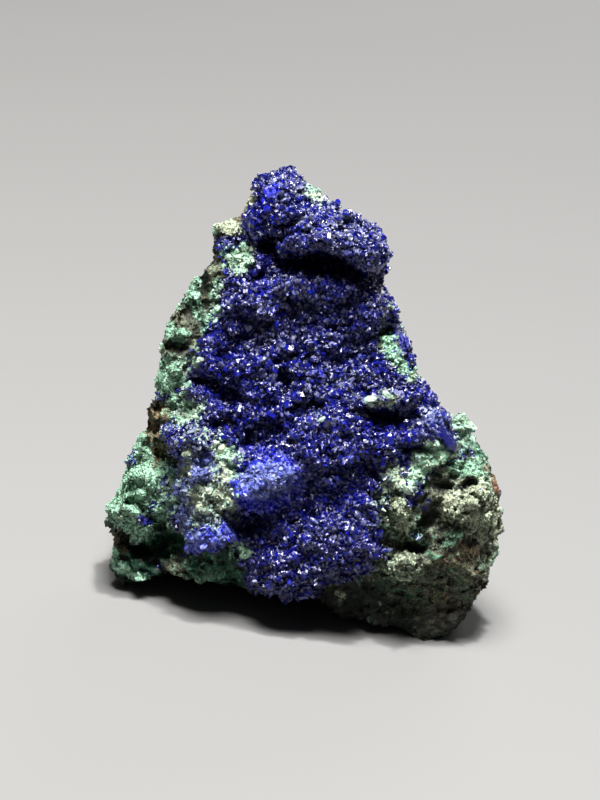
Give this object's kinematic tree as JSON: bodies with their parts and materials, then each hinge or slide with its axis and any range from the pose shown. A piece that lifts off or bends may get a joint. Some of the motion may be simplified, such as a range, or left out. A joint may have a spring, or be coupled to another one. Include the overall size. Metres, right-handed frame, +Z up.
{
  "type": "mineral specimen",
  "caption": "Hand-sized mineral specimen: a sparkling deep blue azurite druse over the leaning face of a green and brown malachite-stained rock that stands on a flat base.",
  "frame": {"origin": "on the flat base, midway along it", "axes": "+Z up, +X to the right across the crystal face, +Y to the back of the rock; the crystal face looks towards -Y"},
  "size_m": [0.0443, 0.0289, 0.0487],
  "materials": {
    "matrix_rock": "rough, pitted malachite and limonite",
    "azurite": "glassy crystal faces"
  },
  "bodies": {
    "root": {"matrix_rock": "matrix_rock", "azurite_crust": "azurite"}
  },
  "joints": []
}
